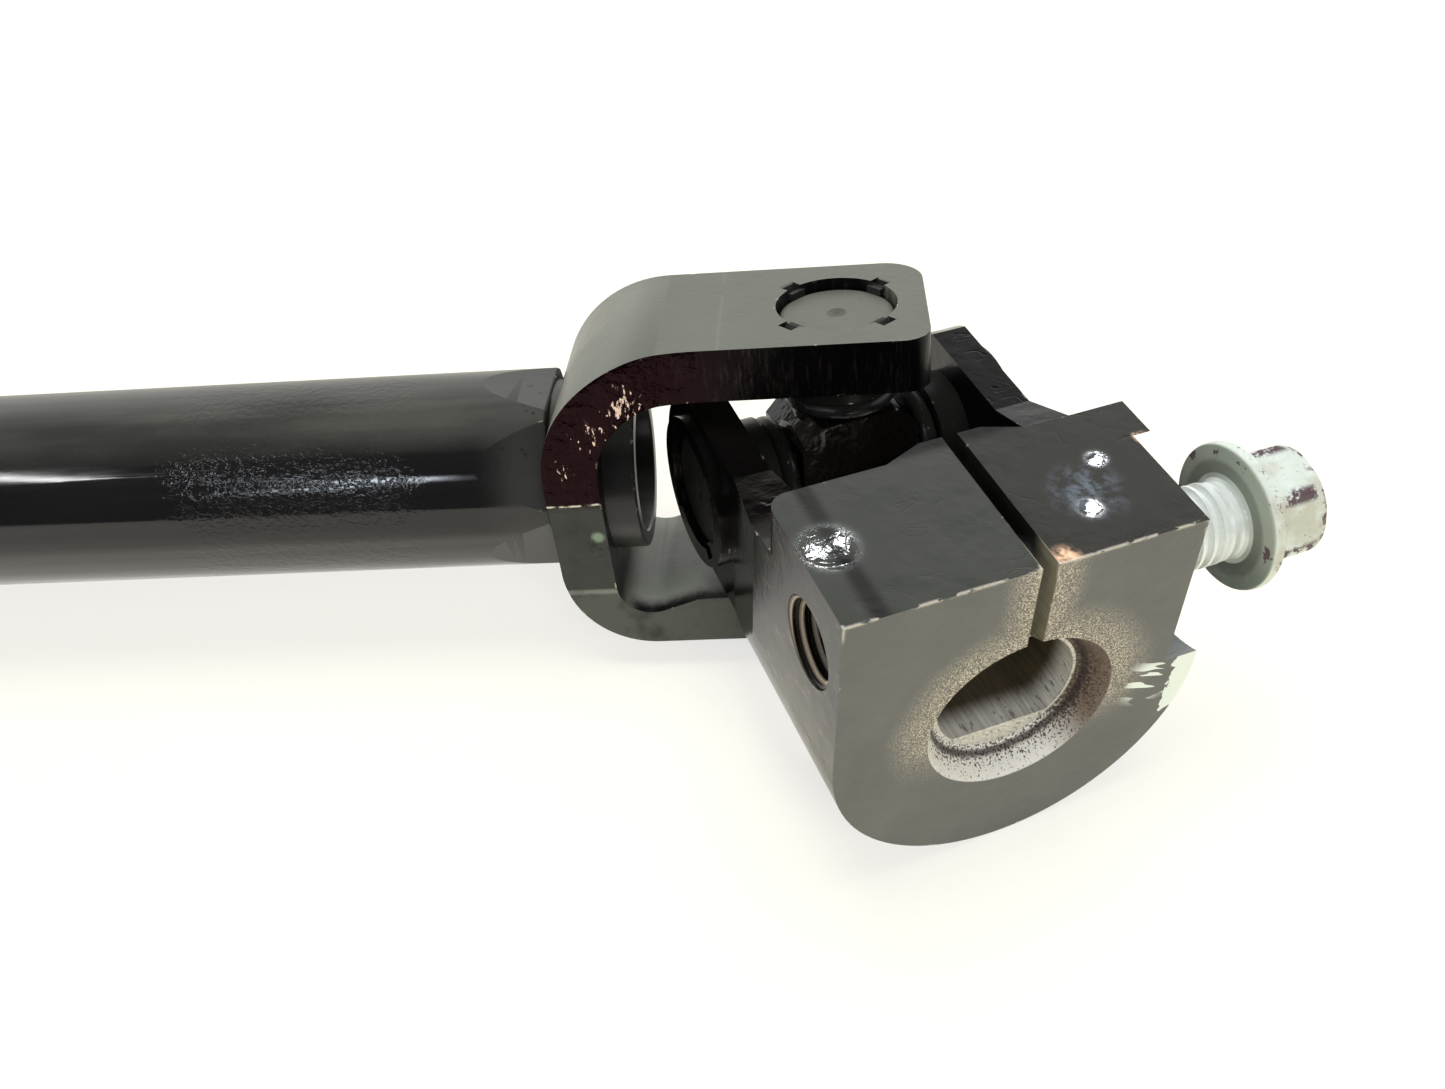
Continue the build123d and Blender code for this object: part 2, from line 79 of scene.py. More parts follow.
BLACK = (0.0075, 0.0072, 0.0068)
CHIP = (0.62, 0.58, 0.50)


def shifted(x, y, z):
    return Matrix.Translation((x, y, z))


def turned(degrees, axis):
    return Matrix.Rotation(math.radians(degrees), 4, axis)


# Frames of the parts of the joints and of the pinch bolts, as the CAD has them
STRAP = shifted(LOWER_CENTRE, 0, 0) @ turned(TUBE_TURN, "X")
CROSS = STRAP @ turned(STRAP_BEND, "Z")
CLAMP = CROSS @ turned(CLAMP_BEND, "Y")
UPPER = shifted(UPPER_CENTRE, 0, 0) @ turned(180, "Z")
BOLT = shifted(BOLT_X / 1000, BOLT_Y / 1000, BOLT_Z / 1000) @ turned(90, "Z")


def make_camera():
    data = bpy.data.cameras.new("camera")
    data.sensor_width = SENSOR_WIDTH
    data.lens = FOCAL_PIXELS / PHOTO_WIDTH * SENSOR_WIDTH
    data.clip_start = 0.01
    camera = bpy.data.objects.new("camera", data)
    collection.objects.link(camera)
    bpy.context.scene.camera = camera
    turn = (
        Matrix.Rotation(CAMERA_HEADING, 4, "Z")
        @ Matrix.Rotation(CAMERA_DIP, 4, "X")
        @ Matrix.Rotation(math.pi / 2, 4, "X")
        @ Matrix.Rotation(CAMERA_ROLL, 4, "Z")
    )
    camera.matrix_world = STRAP @ shifted(*CAMERA_PLACE) @ turn


# Shader building

class Shader:
    """A new material, with short calls for the nodes that it is made of. Lengths are in millimetres."""

    def __init__(self, name):
        self.material = bpy.data.materials.new(name)
        self.material.use_nodes = True
        self.tree = self.material.node_tree
        self.surface = self.tree.nodes["Principled BSDF"]
        self.output = self.tree.nodes["Material Output"]

    def set(self, socket, value):
        if isinstance(value, bpy.types.NodeSocket):
            self.tree.links.new(value, socket)
        elif isinstance(value, tuple) and len(value) == 3 and socket.type == "RGBA":
            socket.default_value = (*value, 1)
        else:
            socket.default_value = value

    def add(self, kind, inputs=(), **settings):
        """One node, with its settings, and its inputs as values or as other nodes' outputs."""
        node = self.tree.nodes.new("ShaderNode" + kind)
        for key, value in settings.items():
            setattr(node, key, value)
        for key, value in dict(inputs).items():
            self.set(node.inputs[key], value)
        return node

    def place(self, matrix=None):
        """The point being shaded, in a joint's frame or in the frame of the whole part."""
        back = (matrix or Matrix.Identity(4)).inverted()
        point = self.add("TexCoord").outputs["Object"]
        inputs = {"Vector": point, "Location": back.translation, "Rotation": back.to_euler()}
        local = self.add("Mapping", inputs)
        return self.stretched(local.outputs[0], (1000, 1000, 1000))

    def facing(self, matrix):
        """The surface's own direction, in a joint's frame, as three numbers."""
        back = matrix.inverted()
        normal = self.add("TexCoord").outputs["Normal"]
        local = self.add("Mapping", {"Vector": normal, "Rotation": back.to_euler()}, vector_type="VECTOR")
        return self.split(local.outputs[0])

    def split(self, vector):
        parts = self.add("SeparateXYZ", {0: vector})
        return parts.outputs[0], parts.outputs[1], parts.outputs[2]

    def join(self, x, y, z):
        return self.add("CombineXYZ", {0: x, 1: y, 2: z}).outputs[0]

    def length(self, x, y, z):
        return self.add("VectorMath", {0: self.join(x, y, z)}, operation="LENGTH").outputs["Value"]

    def stretched(self, vector, stretch):
        return self.add("VectorMath", {0: vector, 1: stretch}, operation="MULTIPLY").outputs[0]

    def math(self, operation, a, b=0.0):
        return self.add("Math", {0: a, 1: b}, operation=operation).outputs[0]

    def absolute(self, value):
        return self.math("ABSOLUTE", value)

    def minus(self, a, b):
        return self.math("SUBTRACT", a, b)

    def product(self, *values):
        result = values[0]
        for value in values[1:]:
            result = self.math("MULTIPLY", result, value)
        return result

    def most(self, *values):
        result = values[0]
        for value in values[1:]:
            result = self.math("MAXIMUM", result, value)
        return result

    def ramp(self, value, low, high, start=0.0, end=1.0):
        """A value that goes smoothly from start to end as the input goes from low to high."""
        return self.add(
            "MapRange",
            {"Value": value, "From Min": low, "From Max": high, "To Min": start, "To Max": end},
            interpolation_type="SMOOTHSTEP",
        ).outputs[0]

    def band(self, value, middle, far, near):
        """1 where the value is near the middle, falling to 0 further off on both sides."""
        return self.ramp(self.absolute(self.minus(value, middle)), far, near)

    def noise(self, vector, size, detail=4.0, rough=0.55, distortion=0.0):
        """Cloudy pattern whose blotches are about this many millimetres across."""
        inputs = {"Vector": vector, "Scale": 1 / size, "Detail": detail}
        inputs.update({"Roughness": rough, "Distortion": distortion})
        return self.add("TexNoise", inputs).outputs["Fac"]

    def specks(self, vector, size, share, soft=0.03):
        """Small sharp spots over about this share of the surface."""
        return self.ramp(self.math("ADD", self.noise(vector, size, 3.0, 0.6), share), 0.68, 0.68 + soft)

    def blob(self, vector, centre, radius, soft=0.5):
        """1 near a point, falling to 0 at a distance from it."""
        away = self.add("VectorMath", {0: vector, 1: centre}, operation="DISTANCE").outputs["Value"]
        return self.ramp(away, radius * (1 - soft), radius, 1.0, 0.0)

    def edge(self, width):
        """1 on edges that stand out or are hollow within this width, 0 on flat faces."""
        rounded = self.add("Bevel", {"Radius": width / 1000}, samples=3).outputs[0]
        plain = self.add("NewGeometry").outputs["Normal"]
        dot = self.add("VectorMath", {0: rounded, 1: plain}, operation="DOT_PRODUCT").outputs["Value"]
        return self.ramp(dot, 0.995, 0.93)

    def mix(self, factor, a, b):
        node = self.add("Mix", data_type="RGBA")
        sockets = [i for i in node.inputs if i.type == "RGBA"]
        self.set([i for i in node.inputs if i.type == "VALUE"][0], factor)
        self.set(sockets[0], a)
        self.set(sockets[1], b)
        return [o for o in node.outputs if o.type == "RGBA"][0]

    def blend(self, factor, a, b):
        return self.add("MapRange", {"Value": factor, "To Min": a, "To Max": b}).outputs[0]

    def bump(self, height, distance, normal=None):
        """Relief this many millimetres deep."""
        inputs = {"Height": height, "Distance": distance / 1000}
        if normal is not None:
            inputs["Normal"] = normal
        return self.add("Bump", inputs).outputs[0]

    def finish(self, color, roughness, metallic, normal, specular=0.5):
        self.set(self.surface.inputs["Base Color"], color)
        self.set(self.surface.inputs["Roughness"], roughness)
        self.set(self.surface.inputs["Metallic"], metallic)
        self.set(self.surface.inputs["Normal"], normal)
        self.surface.inputs["Specular IOR Level"].default_value = specular
        return self.material


# Finishes

def worn_edges(s, p, edge, share):
    """Thin broken chips along the edges."""
    return s.product(edge, s.ramp(s.noise(p, 2.2, 6.0, 0.7), 0.62 - share, 0.66 - share))


def strap_coat(name, frame_matrix):
    """Black coat of a strap yoke: satin grey on top as a painted sheen, dark and lumpy on its sheared
    edge, and grey below as a painted reflection of the floor.
    """
    s = Shader(name)
    p = s.place(frame_matrix)
    x, y, z = s.split(p)
    nx, ny, nz = s.facing(frame_matrix)
    cloud = s.noise(p, 9, 5.0, 0.6)
    fine = s.noise(p, 0.7, 4.0, 0.6)

    # Which face of the strap it is
    outer = s.ramp(s.absolute(nz), 0.25, 0.75)
    sheared = s.product(s.ramp(ny, -0.6, -0.9), s.ramp(z, 0.5, 3.0))
    low = s.product(s.ramp(ny, -0.6, -0.9), s.ramp(z, 3.0, 1.5))
    bend_highlight = s.product(s.ramp(nx, -0.02, -0.35), s.ramp(nz, -0.1, 0.3))

    # Ears, bend and inside. The grey of the ears' outer faces is a painted sheen of the overhead light on
    # the black coat
    top = s.mix(cloud, (0.068, 0.073, 0.060), (0.118, 0.123, 0.103))
    color = s.mix(outer, s.mix(cloud, BLACK, (0.010, 0.0095, 0.009)), top)
    # Lighter grey round the bend: a painted highlight
    color = s.mix(bend_highlight, color, s.mix(cloud, (0.105, 0.110, 0.092), (0.150, 0.155, 0.132)))
    # Inside, the upper face of the lower ear: painted light from the floor, with a painted shadow towards
    # its front edge
    inner = s.product(s.ramp(nz, 0.6, 0.9), s.ramp(z, 10, 8))
    shade = s.ramp(s.math("ADD", y, s.product(s.noise(p, 0.8, 3.0), 1.2)), -11.0, -8.0)
    lit_floor = s.mix(cloud, (0.16, 0.17, 0.15), (0.24, 0.25, 0.22))
    color = s.mix(inner, color, s.mix(shade, (0.004, 0.004, 0.004), lit_floor))

    # Staked pockets round the cups, painted dark as shade in the sunk pockets
    from_cup = s.length(x, y, 0.0)
    sunk = s.product(s.ramp(s.absolute(z), EAR_OUTSIDE, EAR_OUTSIDE - 0.12), s.ramp(s.absolute(z), 20, 21))
    pit_shade = s.product(outer, sunk, s.ramp(from_cup, 13, 12))
    color = s.mix(pit_shade, color, (0.006, 0.006, 0.006))

    # Sheared edge: streaked near the ear's tip, maroon round the bend
    streaks = s.ramp(s.noise(s.stretched(p, (1, 1, 0.12)), 0.5, 4.0, 0.7), 0.5, 0.72)
    maroon = s.product(sheared, s.ramp(x, -8, -24))
    dark = s.mix(s.product(streaks, 0.6), (0.006, 0.0055, 0.006), (0.05, 0.038, 0.034))
    color = s.mix(sheared, color, dark)
    wine = s.mix(s.noise(p, 2.0, 4.0), (0.0060, 0.0012, 0.0024), (0.0180, 0.0035, 0.0060))
    color = s.mix(s.product(maroon, 0.85), color, wine)

    # Greyer lower part, a painted reflection of the floor, lighter towards the lower bend, with a pale
    # crest and a pale rim as painted highlights, a mint dot and a smudge
    below = s.mix(s.ramp(z, -12.9, -13.5), (0.030, 0.032, 0.029), (0.062, 0.070, 0.060))
    below = s.mix(s.ramp(s.noise(p, 5, 4.0), 0.45, 0.75), below, (0.020, 0.021, 0.020))
    crest = s.band(z, -13.4, 0.7, 0.1)
    below = s.mix(s.product(crest, s.ramp(cloud, 0.35, 0.6), 0.7), below, (0.20, 0.215, 0.19))
    color = s.mix(low, color, below)
    rim_highlight = s.band(z, SHEARED_LOW, 0.22, 0.05)
    rim_highlight = s.product(rim_highlight, s.ramp(ny, -0.5, -0.8), s.ramp(s.noise(p, 1.6, 4.0), 0.45, 0.58))
    color = s.mix(rim_highlight, color, (0.55, 0.52, 0.45))
    mint = s.product(low, s.blob(p, (-33.3, -13.5, -3.2), 1.3))
    color = s.mix(s.product(mint, 0.5), color, (0.30, 0.42, 0.30))
    smudge = s.product(low, s.blob(p, (-33.5, -13.5, -5.2), 2.1), s.specks(p, 0.9, 0.16))
    color = s.mix(s.product(smudge, 0.85), color, (0.012, 0.012, 0.012))

    # Clusters of painted glints on the maroon, a faint painted highlight line across the ear where it
    # meets the bend, and chips
    cluster = s.most(s.blob(p, (-27.5, -13.6, 16.2), 4.5, 0.9), s.blob(p, (-32.6, -13.6, 12.8), 3.6, 0.9))
    cluster = s.most(cluster, s.blob(p, (-36.2, -13.6, 8.2), 3.2, 0.9))
    glints = s.specks(s.stretched(p, (1, 1, 0.45)), 0.55, s.product(cluster, 0.16), 0.05)
    glints = s.product(maroon, glints, s.ramp(cluster, 0.05, 0.3))
    color = s.mix(glints, color, s.mix(cloud, (0.75, 0.70, 0.66), (0.72, 0.40, 0.24)))
    line_highlight = s.product(outer, s.band(x, -15.2, 0.35, 0.1), s.ramp(cloud, 0.42, 0.55))
    color = s.mix(s.product(line_highlight, 0.25), color, (0.16, 0.16, 0.14))
    chips = worn_edges(s, p, s.edge(0.45), 0.02)
    color = s.mix(s.product(chips, 0.75), color, CHIP)

    rough = s.blend(outer, s.ramp(cloud, 0.3, 0.7, 0.26, 0.38), s.ramp(cloud, 0.3, 0.7, 0.34, 0.46))
    rough = s.blend(maroon, rough, 0.13)
    lumps = s.product(s.noise(p, 1.3, 3.0, 0.5), s.blend(maroon, 0.25, 1.0))
    normal = s.bump(lumps, 0.28, s.bump(fine, 0.02))
    return s.finish(color, rough, s.product(sheared, 0.8), normal, 0.22)


def clamp_coat(name, frame_matrix):
    """Black coat of a clamp yoke: greyer on its machined front, and bare speckled metal in its bore."""
    s = Shader(name)
    p = s.place(frame_matrix)
    x, y, z = s.split(p)
    nx, ny, nz = s.facing(frame_matrix)
    cloud = s.noise(p, 8, 5.0, 0.6)
    fine = s.noise(p, 0.8, 4.0, 0.6)
    grain = s.noise(p, 0.20, 4.0, 0.75)
    radius = s.length(0.0, y, z)

    # Which face of the clamp it is
    ahead = s.ramp(x, HEAD_FRONT - 0.6, HEAD_FRONT - 0.3)
    front = s.product(ahead, s.ramp(nx, 0.6, 0.9))
    up = s.ramp(nz, 0.6, 0.9)
    side = s.ramp(ny, -0.6, -0.9)
    inside = s.product(s.ramp(radius, COUNTERSINK + 0.15, COUNTERSINK - 0.1), s.ramp(x, 24.5, 25.5))
    inside = s.product(inside, s.minus(1.0, front))
    arms = s.ramp(x, HEAD_BACK, HEAD_BACK - 5)
    above_head = s.product(up, s.ramp(x, HEAD_BACK + 0.5, HEAD_BACK + 2.5))

    # Top: grey as a painted sheen of the overhead light, paler on the left cheek, with a dark band on the
    # left cheek
    color = s.mix(cloud, (0.0035, 0.0033, 0.0032), (0.011, 0.010, 0.0095))
    left_top_sheen = s.mix(cloud, (0.022, 0.024, 0.021), (0.046, 0.048, 0.042))
    right_top_sheen = s.mix(cloud, (0.010, 0.010, 0.009), (0.032, 0.031, 0.027))
    dark_band = s.band(y, -19.6, 1.7, 0.3)
    left_top_sheen = s.mix(s.product(dark_band, 0.75), left_top_sheen, (0.006, 0.006, 0.006))
    color = s.mix(above_head, color, s.mix(s.ramp(y, -0.5, 0.5), left_top_sheen, right_top_sheen))
    # Bluish smear on the right cheek: a painted reflection of blue light
    wisps = s.ramp(s.noise(p, 2.2, 5.0, 0.65), 0.42, 0.62)
    blue_reflection = s.product(above_head, s.blob(p, (41.0, 9.8, HEAD_TOP), 6.0, 0.9), wisps)
    color = s.mix(s.product(blue_reflection, 0.45), color, (0.16, 0.20, 0.25))

    # Left side: paler low down as a painted reflection of the floor, and streaked
    smear = s.ramp(s.noise(s.stretched(p, (1, 1, 0.3)), 3.0, 5.0, 0.65), 0.45, 0.75)
    side_floor_reflection = s.product(side, s.ramp(z, 14, -14), s.ramp(x, HEAD_BACK - 1, HEAD_BACK + 9))
    side_floor_reflection = s.product(side_floor_reflection, s.blend(smear, 1.0, 0.45))
    color = s.mix(side_floor_reflection, color, (0.155, 0.15, 0.125))
    streaks = s.ramp(s.noise(s.stretched(p, (0.25, 1, 1)), 1.0, 5.0, 0.7), 0.56, 0.68)
    side_streaks = s.product(side, s.ramp(x, HEAD_BACK - 1, HEAD_BACK + 5), streaks)
    color = s.mix(s.product(side_streaks, 0.5), color, (0.32, 0.26, 0.20))

    # Front face, with the coat worn off in grains near the slot and the bore
    color = s.mix(front, color, s.mix(cloud, (0.078, 0.082, 0.078), (0.126, 0.128, 0.119)))
    near_slot = s.product(s.ramp(s.absolute(y), 6.0, 0.8), s.ramp(z, 4, 9))
    near_bore = s.product(s.ramp(radius, 18.5, 11.5), s.ramp(z, -9, 3))
    wear = s.product(front, s.most(near_slot, near_bore), s.blend(s.noise(p, 4.0, 4.0), 0.55, 1.25))
    pits = s.ramp(grain, 0.42, 0.66)
    bare = s.mix(pits, (0.095, 0.080, 0.055), (0.95, 0.87, 0.72))
    color = s.mix(s.product(wear, s.ramp(grain, 0.34, 0.62, 0.25, 1.0)), color, bare)

    # Countersink: speckled steel, its pale lower left brightened as a painted reflection of the light
    # above, rusty at its upper right, with a dark ring at its inner end
    cone = s.product(inside, s.ramp(x, HEAD_FRONT - 3.7, HEAD_FRONT - 3.5), s.ramp(nx, 0.98, 0.9))
    rusty = s.ramp(s.math("ADD", s.product(y, 0.09), s.product(z, 0.05)), -0.15, 0.75)
    dense = s.ramp(radius, 11.7, 10.4, 0.07, 0.17)
    speckle = s.specks(p, 0.30, s.math("ADD", dense, s.product(rusty, 0.05)))
    steel = s.mix(rusty, (0.80, 0.79, 0.75), (0.17, 0.13, 0.10))
    steel = s.mix(s.product(speckle, 0.9), steel, (0.045, 0.032, 0.026))
    ring = s.product(inside, s.band(radius, 10.2, 0.5, 0.1), s.ramp(x, 45.5, 45.8))
    ring_color = s.mix(s.specks(p, 0.5, 0.2), (0.05, 0.035, 0.03), (0.012, 0.010, 0.014))

    # Wall of the bore: scratched along, with painted shade further in, and one rusty streak
    deep = s.ramp(x, HEAD_FRONT - 4.8, HEAD_FRONT - 8.5)
    scratches = s.noise(s.stretched(p, (0.05, 1, 1)), 0.45, 4.0, 0.7)
    scratched = s.ramp(scratches, 0.3, 0.7)
    wall = s.mix(scratched, (0.40, 0.39, 0.35), (0.66, 0.65, 0.61))
    stains = s.specks(s.stretched(p, (0.3, 1, 1)), 0.6, 0.08)
    wall = s.mix(s.product(stains, 0.6), wall, (0.06, 0.05, 0.045))
    wall = s.mix(deep, wall, s.mix(scratched, (0.044, 0.035, 0.021), (0.074, 0.058, 0.034)))
    streak = s.product(s.blob(s.join(0.0, y, z), (0.0, -4.6, 7.7), 0.9), s.ramp(x, 30, 34))
    wall = s.mix(streak, wall, (0.62, 0.47, 0.26))
    bore = s.mix(cone, wall, steel)
    bore = s.mix(s.product(ring, 0.85), bore, ring_color)
    color = s.mix(inside, color, bore)

    # Walls of the slot: painted shade inside, and bare steel near the front, painted lighter there as
    # light falling into the slot's mouth
    slot_shade = s.ramp(s.absolute(y), SLOT / 2 + 0.12, SLOT / 2 + 0.04)
    slot_shade = s.product(slot_shade, s.ramp(z, 5, 6), s.ramp(x, HEAD_BACK - 1, HEAD_BACK))
    slot_bare_lit = s.product(slot_shade, s.ramp(x, HEAD_FRONT - 5.5, HEAD_FRONT - 2.5))
    color = s.mix(slot_shade, color, (0.009, 0.009, 0.008))
    slot_steel = s.mix(scratches, (0.16, 0.145, 0.10), (0.30, 0.28, 0.21))
    color = s.mix(s.product(slot_bare_lit, 0.85), color, slot_steel)

    # Tapped hole in the left cheek: its thread, past the modelled turns, as relief, and as colour with
    # painted shade in its grooves and painted highlight on its ridges
    beside = s.minus(x, BOLT_X)
    above = s.minus(z, BOLT_Z)
    from_bolt = s.length(beside, 0.0, above)
    around = s.math("DIVIDE", s.math("ARCTAN2", above, beside), 2 * math.pi)
    turns = s.math("FRACT", s.math("ADD", s.math("DIVIDE", y, THREAD_PITCH), around))
    ridge = s.band(turns, 0.5, 0.5, 0.05)
    tapped = s.product(s.ramp(from_bolt, 5.6, 5.4), s.ramp(y, -1.5, -2.0))
    tapped = s.product(tapped, s.ramp(y, CHEEK_OUTSIDE, CHEEK_OUTSIDE + 0.5))
    thread = s.mix(s.ramp(ridge, 0.35, 0.85), (0.008, 0.006, 0.005), (0.46, 0.40, 0.32))
    color = s.mix(tapped, color, thread)

    # Spotface under the bolt's head, and the notch below it
    spot = s.product(s.ramp(from_bolt, SPOTFACE, SPOTFACE - 0.3), s.ramp(ny, 0.7, 0.95))
    spot = s.product(spot, s.ramp(y, 19.2, 19.5))
    color = s.mix(s.product(spot, 0.5), color, s.mix(cloud, (0.10, 0.11, 0.11), (0.30, 0.31, 0.29)))
    notch = s.product(s.ramp(y, 19.0, 19.4), s.ramp(z, 5.5, 3.5), s.ramp(nz, 0.2, 0.6))
    color = s.mix(notch, color, (0.16, 0.18, 0.18))

    # Splash of pale paint at the right of the front, drawn out along a slope
    along = s.minus(s.product(y, 0.918), s.product(z, 0.397))
    across = s.math("ADD", s.product(y, 0.397), s.product(z, 0.918))
    spray = s.noise(s.join(0.0, s.product(along, 0.16), across), 1.5, 2.0, 0.5)
    splash = s.product(s.blob(p, (HEAD_FRONT, 18.0, -1.8), 5.2, 0.6), s.ramp(spray, 0.57, 0.59))
    wobble = s.product(s.noise(p, 1.8, 3.0, 0.6), 4.0)
    patch = s.ramp(s.math("ADD", y, wobble), 22.9, 23.1)
    patch = s.product(patch, s.ramp(s.math("ADD", z, wobble), -7.0, -6.7))
    color = s.mix(s.product(front, s.most(splash, patch)), color, (0.62, 0.69, 0.66))

    # Copper-coloured burrs, and chips along the edges
    crumbs = s.ramp(s.noise(p, 1.3, 5.0, 0.7), 0.30, 0.60)
    burr = s.product(up, s.blob(p, (HEAD_FRONT - 0.7, 2.2, HEAD_TOP), 2.3, 0.95), crumbs)
    wide_edge = s.edge(0.55)
    far_burr = s.product(wide_edge, s.blob(p, (34.8, 19.8, 24.0), 1.9, 0.6), crumbs)
    color = s.mix(s.most(burr, far_burr), color, (0.80, 0.52, 0.34))
    lip = s.product(s.ramp(x, HEAD_FRONT - 1.0, HEAD_FRONT - 0.4), s.ramp(z, 21.5, 23.0))
    lip = s.product(lip, worn_edges(s, s.stretched(p, (1, 0.5, 1)), wide_edge, 0.13))
    chips = s.most(worn_edges(s, p, s.edge(0.4), 0.0), lip)
    chips = s.product(chips, s.minus(1.0, inside))
    color = s.mix(s.product(chips, 0.85), color, CHIP)

    # Relief: dents and creases, calmed round the three polished spots, which mirror the panes
    creases = s.noise(s.stretched(p, (1, 0.6, 1)), 5.0, 2.0, 0.5, 0.8)
    crease = s.product(up, s.band(creases, 0.5, 0.018, 0.0), s.ramp(s.noise(p, 6.0, 2.0), 0.50, 0.60))
    left_spot = (38.7, -20.6, HEAD_TOP)
    far_spot = (36.8, 13.5, HEAD_TOP)
    near_spot = (43.6, 8.6, HEAD_TOP)
    calm = s.most(s.blob(p, left_spot, 9.0, 0.5), s.blob(p, (40.2, 11.0, HEAD_TOP), 10.0, 0.4))
    calm = s.product(above_head, calm)
    polish = s.most(s.blob(p, left_spot, 5.2, 0.5), s.blob(p, far_spot, 2.2, 0.6))
    polish = s.product(above_head, s.most(polish, s.blob(p, near_spot, 2.6, 0.6)))
    dents = s.minus(s.minus(s.noise(p, 3.4, 3.0, 0.5), 0.5), s.product(crease, 0.22))
    flat = s.blend(s.most(wear, inside, calm), 1.0, 0.05)
    relief = s.product(dents, s.blend(side, 1.0, 0.35), flat)
    grit = s.product(s.minus(fine, 0.5), s.blend(calm, 1.0, 0.08))
    normal = s.bump(relief, 0.20, s.bump(grit, 0.02))
    normal = s.bump(s.product(s.most(wear, cone), grain), 0.16, normal)
    normal = s.bump(s.product(tapped, ridge), 0.7, normal)
    normal = s.bump(s.product(inside, scratches, s.minus(1.0, cone)), 0.02, normal)

    metal = s.most(s.product(arms, 0.7), s.product(inside, 0.25))
    metal = s.most(metal, s.product(wear, pits, 0.3), s.product(tapped, 0.5))
    rough = s.ramp(cloud, 0.3, 0.7, 0.30, 0.42)
    rough = s.blend(s.most(front, inside), rough, 0.48)
    rough = s.blend(s.most(side, arms), rough, 0.18)
    rough = s.blend(polish, rough, 0.02)
    return s.finish(color, rough, metal, normal, 0.26)


def tube_coat():
    """Glossy black coat of the tube, dusty and with a painted sheen on top, greyer underneath as a painted
    reflection of the floor, with drips along it and a rippled stretch.
    """
    s = Shader("tube_coat")
    p = s.place()
    x, _, _ = s.split(p)
    _, _, nz = s.facing(turned(TUBE_TURN, "X"))
    cloud = s.noise(s.stretched(p, (0.25, 1, 1)), 7, 5.0, 0.6)
    drips = s.noise(s.stretched(p, (0.12, 1, 1)), 0.9, 4.0, 0.65)
    # Paler on top: dust, and a painted sheen of the overhead light on the glossy coat
    dust = s.product(s.ramp(nz, 0.55, 0.95), s.ramp(cloud, 0.35, 0.7, 0.5, 1.0))
    color = s.mix(cloud, (0.004, 0.004, 0.0045), (0.010, 0.0095, 0.010))
    color = s.mix(s.product(dust, 0.75), color, (0.060, 0.063, 0.053))
    # Greyer underneath: a painted reflection of the floor
    color = s.mix(s.product(s.ramp(nz, -0.1, -0.4), 0.8), color, (0.034, 0.035, 0.033))
    flats = s.ramp(x, CRIMP_START - 1, CRIMP_START + 6)
    flats = s.product(flats, s.ramp(x, TUBE_END, TUBE_END - 0.4))
    flat_color = s.mix(cloud, (0.030, 0.031, 0.028), (0.060, 0.060, 0.055))
    color = s.mix(s.product(flats, 0.35), color, flat_color)
    marks = s.product(s.specks(p, 1.1, 0.03), flats)
    color = s.mix(s.product(marks, 0.8), color, (0.006, 0.006, 0.006))
    chips = worn_edges(s, p, s.edge(0.4), 0.02)
    color = s.mix(s.product(chips, 0.7), color, CHIP)
    rough = s.ramp(drips, 0.3, 0.7, 0.07, 0.13)
    rough = s.blend(s.ramp(x, CRIMP_START, CRIMP_START + 5), rough, 0.34)
    rough = s.blend(s.product(s.ramp(nz, 0.5, 0.9), s.blend(cloud, 0.6, 1.0)), rough, 0.40)
    rippled = s.product(s.ramp(x, 198, 206), s.ramp(x, 239, 233))
    waves = s.ramp(s.noise(s.stretched(p, (0.8, 1, 1)), 0.8, 3.0, 0.6), 0.40, 0.60)
    waves = s.product(waves, s.blend(rippled, 0.02, 1.0))
    swell = s.noise(s.stretched(p, (0.15, 1, 1)), 5.0, 2.0)
    return s.finish(color, rough, 0.0, s.bump(waves, 0.026, s.bump(swell, 0.008)), 0.45)


def cast_coat(name, frame_matrix):
    """Thick glossy coat over the rough forging of a cross."""
    s = Shader(name)
    p = s.place(frame_matrix)
    lumps = s.noise(p, 2.2, 2.0, 0.5)
    cloud = s.noise(p, 6, 4.0)
    color = s.mix(cloud, (0.003, 0.0028, 0.0026), (0.008, 0.006, 0.005))
    rust = s.ramp(s.noise(p, 2.6, 6.0, 0.7), 0.62, 0.72)
    color = s.mix(s.product(rust, 0.3), color, (0.070, 0.042, 0.020))
    chips = worn_edges(s, p, s.edge(0.4), 0.02)
    color = s.mix(s.product(chips, 0.6), color, (0.40, 0.35, 0.30))
    normal = s.bump(lumps, 0.15, s.bump(s.noise(p, 0.5, 3.0), 0.01))
    return s.finish(color, s.ramp(cloud, 0.3, 0.7, 0.08, 0.16), s.product(chips, 0.6), normal, 0.5)


def cup_coat(name, frame_matrix, pale):
    """Bearing cup under the same coat as its yoke. The tone of its floor is painted light: pale in a
    strap's ears as a painted sheen like the ears around it, and dark in a clamp's arms as painted shade.
    """
    s = Shader(name)
    p = s.place(frame_matrix)
    _, _, nz = s.facing(frame_matrix)
    cloud = s.noise(p, 4, 5.0, 0.65)
    floor = s.ramp(s.absolute(nz), 0.8, 0.97)
    color = s.mix(floor, (0.008, 0.008, 0.0075), s.mix(cloud, *pale))
    stain = s.ramp(s.noise(p, 1.5, 6.0, 0.75), 0.58, 0.70)
    color = s.mix(s.product(stain, 0.4), color, (0.030, 0.028, 0.024))
    color = s.mix(worn_edges(s, p, s.edge(0.3), 0.05), color, CHIP)
    normal = s.bump(cloud, 0.05, s.bump(s.noise(p, 0.6, 3.0), 0.02))
    return s.finish(color, s.ramp(cloud, 0.3, 0.7, 0.30, 0.42), 0.0, normal, 0.25)


